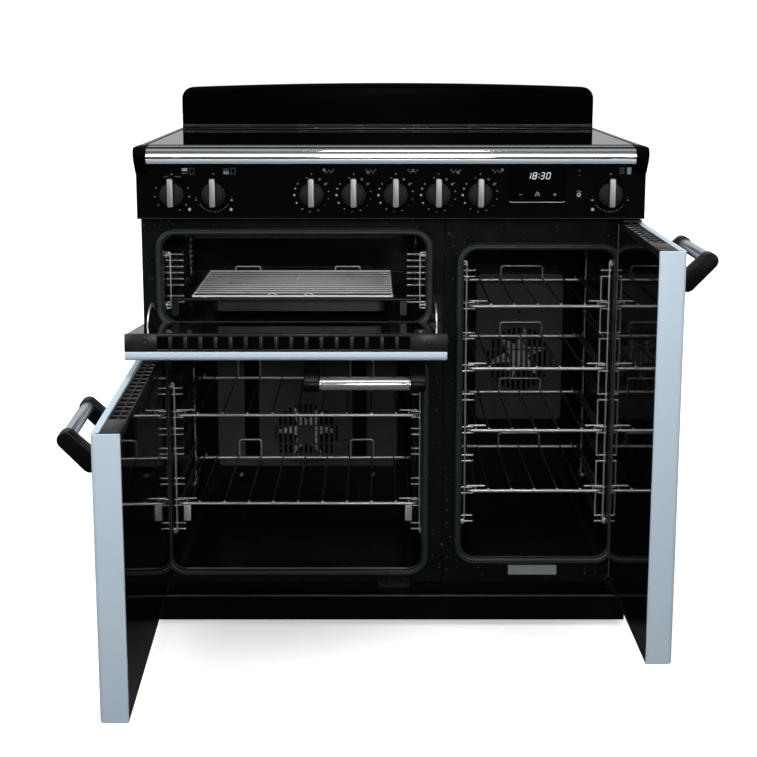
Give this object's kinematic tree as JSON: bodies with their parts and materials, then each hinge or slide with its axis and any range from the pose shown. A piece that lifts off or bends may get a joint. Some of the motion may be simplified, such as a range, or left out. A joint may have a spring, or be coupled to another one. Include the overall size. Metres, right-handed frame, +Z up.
{
  "type": "range cooker",
  "caption": "Freestanding range cooker with ceramic hob, grill compartment, wide lower oven and tall side oven, all doors open, chrome front rail and rear upstand.",
  "frame": {"origin": "on the floor, centre of the width, in the plane of the oven front frame", "axes": "+X to the right seen from the front, +Y to the back, +Z up"},
  "size_m": [1.0041, 1.1022, 1.001],
  "materials": {
    "black_enamel": "gloss speckled vitreous enamel",
    "liner_enamel": "gloss black easy-clean enamel",
    "door_paint": "satin light blue-grey paint",
    "door_inner": "mirror-gloss black enamel",
    "door_vents": "satin black",
    "handle_metal": "brushed bar in black ends",
    "galvanised": "dull galvanised sheet",
    "panel_black": "satin black",
    "hob_glass": "black ceramic glass, polished",
    "hob_trim": "satin black",
    "chrome_rail": "polished",
    "cap_black": "satin black",
    "clock_face": "black display window",
    "regulator": "moulded body with metal spindle",
    "knob": "black skirt, brushed silver grip",
    "seal": "woven silicone seal, dark grey-green",
    "bracket_steel": "plated steel",
    "rack_wire": "chromed wire",
    "pan_enamel": "grey enamel",
    "fan_sheet": "enamelled grey sheet",
    "fan_metal": "pressed sheet",
    "element": "oxidised sheath",
    "foot": "black pad on zinc stem",
    "roller": "moulded black tread"
  },
  "bodies": {
    "root": {"side_panels": "panel_black", "rear_panel": "galvanised", "base_tray": "panel_black", "front_frames": "black_enamel", "grill_liner": "liner_enamel", "main_oven_liner": "liner_enamel", "tall_oven_liner": "liner_enamel", "door_seals": "seal", "hob_glass": "hob_glass", "hob_surround": "hob_trim", "front_rail": "chrome_rail", "rail_end_caps": "cap_black", "control_fascia": "panel_black", "clock_module": "clock_face", "control_regulators": "regulator", "rear_upstand": "panel_black", "plinth": "panel_black", "levelling_feet": "foot", "roller_brackets": "galvanised", "hinge_brackets": "cap_black", "shelf_ladders": "rack_wire", "main_fan_cover": "fan_sheet", "tall_fan_cover": "fan_sheet", "fan_motors": "galvanised", "heating_elements": "element", "cable_inlet": "cap_black", "frame_screws": "bracket_steel"},
    "lower_left_door": {"main_door_outer": "door_paint", "main_door_inner": "door_inner", "main_door_vents": "door_vents", "main_door_handle": "handle_metal"},
    "tall_right_door": {"tall_door_outer": "door_paint", "tall_door_inner": "door_inner", "tall_door_vents": "door_vents", "tall_door_handle": "handle_metal"},
    "grill_door": {"grill_door_outer": "door_paint", "grill_door_inner": "door_inner", "grill_door_vent": "door_vents", "grill_door_handle": "handle_metal", "grill_door_stays": "bracket_steel"},
    "grill_pan_set": {"grill_pan": "pan_enamel", "grill_trivet": "rack_wire"},
    "main_shelf_upper": {"main_shelf_upper": "rack_wire"},
    "main_shelf_lower": {"main_shelf_lower": "rack_wire"},
    "main_fan": {"fan_rotor_main": "fan_metal"},
    "tall_fan": {"fan_rotor_tall": "fan_metal"},
    "roller_left": {"rear_roller_left": "roller"},
    "roller_right": {"rear_roller_right": "roller"},
    "tall_shelf_1": {"tall_shelf_1": "rack_wire"},
    "tall_shelf_2": {"tall_shelf_2": "rack_wire"},
    "tall_shelf_3": {"tall_shelf_3": "rack_wire"},
    "tall_shelf_4": {"tall_shelf_4": "rack_wire"},
    "knob_1": {"knob_1": "knob"},
    "knob_2": {"knob_2": "knob"},
    "knob_3": {"knob_3": "knob"},
    "knob_4": {"knob_4": "knob"},
    "knob_5": {"knob_5": "knob"},
    "knob_6": {"knob_6": "knob"},
    "knob_7": {"knob_7": "knob"},
    "knob_8": {"knob_8": "knob"}
  },
  "joints": [
    {"name": "lower_left_door_hinge", "type": "hinge", "parent": "root", "child": "lower_left_door", "pos_m": [-0.429, -0.031, 0.3], "axis": [0, 0, 1], "range_deg": [0, 46]},
    {"name": "tall_right_door_hinge", "type": "hinge", "parent": "root", "child": "tall_right_door", "pos_m": [0.429, -0.031, 0.4], "axis": [0, 0, -1], "range_deg": [0, 90]},
    {"name": "grill_door_hinge", "type": "hinge", "parent": "root", "child": "grill_door", "pos_m": [0, -0.031, 0.566], "axis": [-1, 0, 0], "range_deg": [0, 84]},
    {"name": "main_shelf_upper_slide", "type": "slide", "parent": "root", "child": "main_shelf_upper", "axis": [0, 1, 0], "range_m": [-0.2, 0]},
    {"name": "main_shelf_lower_slide", "type": "slide", "parent": "root", "child": "main_shelf_lower", "axis": [0, 1, 0], "range_m": [-0.2, 0]},
    {"name": "tall_shelf_1_slide", "type": "slide", "parent": "root", "child": "tall_shelf_1", "axis": [0, 1, 0], "range_m": [-0.2, 0]},
    {"name": "tall_shelf_2_slide", "type": "slide", "parent": "root", "child": "tall_shelf_2", "axis": [0, 1, 0], "range_m": [-0.2, 0]},
    {"name": "tall_shelf_3_slide", "type": "slide", "parent": "root", "child": "tall_shelf_3", "axis": [0, 1, 0], "range_m": [-0.2, 0]},
    {"name": "tall_shelf_4_slide", "type": "slide", "parent": "root", "child": "tall_shelf_4", "axis": [0, 1, 0], "range_m": [-0.2, 0]},
    {"name": "grill_pan_slide", "type": "slide", "parent": "root", "child": "grill_pan_set", "axis": [0, 1, 0], "range_m": [-0.04, 0]},
    {"name": "knob_1_turn", "type": "hinge", "parent": "root", "child": "knob_1", "pos_m": [-0.3854, -0.055, 0.821], "axis": [0, 1, 0], "range_deg": [0, 270]},
    {"name": "knob_2_turn", "type": "hinge", "parent": "root", "child": "knob_2", "pos_m": [-0.3118, -0.055, 0.821], "axis": [0, 1, 0], "range_deg": [0, 270]},
    {"name": "knob_3_turn", "type": "hinge", "parent": "root", "child": "knob_3", "pos_m": [-0.1395, -0.055, 0.821], "axis": [0, 1, 0], "range_deg": [0, 270]},
    {"name": "knob_4_turn", "type": "hinge", "parent": "root", "child": "knob_4", "pos_m": [-0.0654, -0.055, 0.821], "axis": [0, 1, 0], "range_deg": [0, 270]},
    {"name": "knob_5_turn", "type": "hinge", "parent": "root", "child": "knob_5", "pos_m": [0.0086, -0.055, 0.821], "axis": [0, 1, 0], "range_deg": [0, 270]},
    {"name": "knob_6_turn", "type": "hinge", "parent": "root", "child": "knob_6", "pos_m": [0.0836, -0.055, 0.821], "axis": [0, 1, 0], "range_deg": [0, 270]},
    {"name": "knob_7_turn", "type": "hinge", "parent": "root", "child": "knob_7", "pos_m": [0.1572, -0.055, 0.821], "axis": [0, 1, 0], "range_deg": [0, 270]},
    {"name": "knob_8_turn", "type": "hinge", "parent": "root", "child": "knob_8", "pos_m": [0.3864, -0.055, 0.821], "axis": [0, 1, 0], "range_deg": [0, 270]},
    {"name": "main_fan_spin", "type": "hinge", "parent": "root", "child": "main_fan", "pos_m": [-0.176, 0.415, 0.255], "axis": [0, 1, 0], "continuous": true},
    {"name": "tall_fan_spin", "type": "hinge", "parent": "root", "child": "tall_fan", "pos_m": [0.279, 0.415, 0.423], "axis": [0, 1, 0], "continuous": true},
    {"name": "roller_left_spin", "type": "hinge", "parent": "root", "child": "roller_left", "pos_m": [-0.38, 0.48, 0.02], "axis": [1, 0, 0], "continuous": true},
    {"name": "roller_right_spin", "type": "hinge", "parent": "root", "child": "roller_right", "pos_m": [0.38, 0.48, 0.02], "axis": [1, 0, 0], "continuous": true}
  ]
}
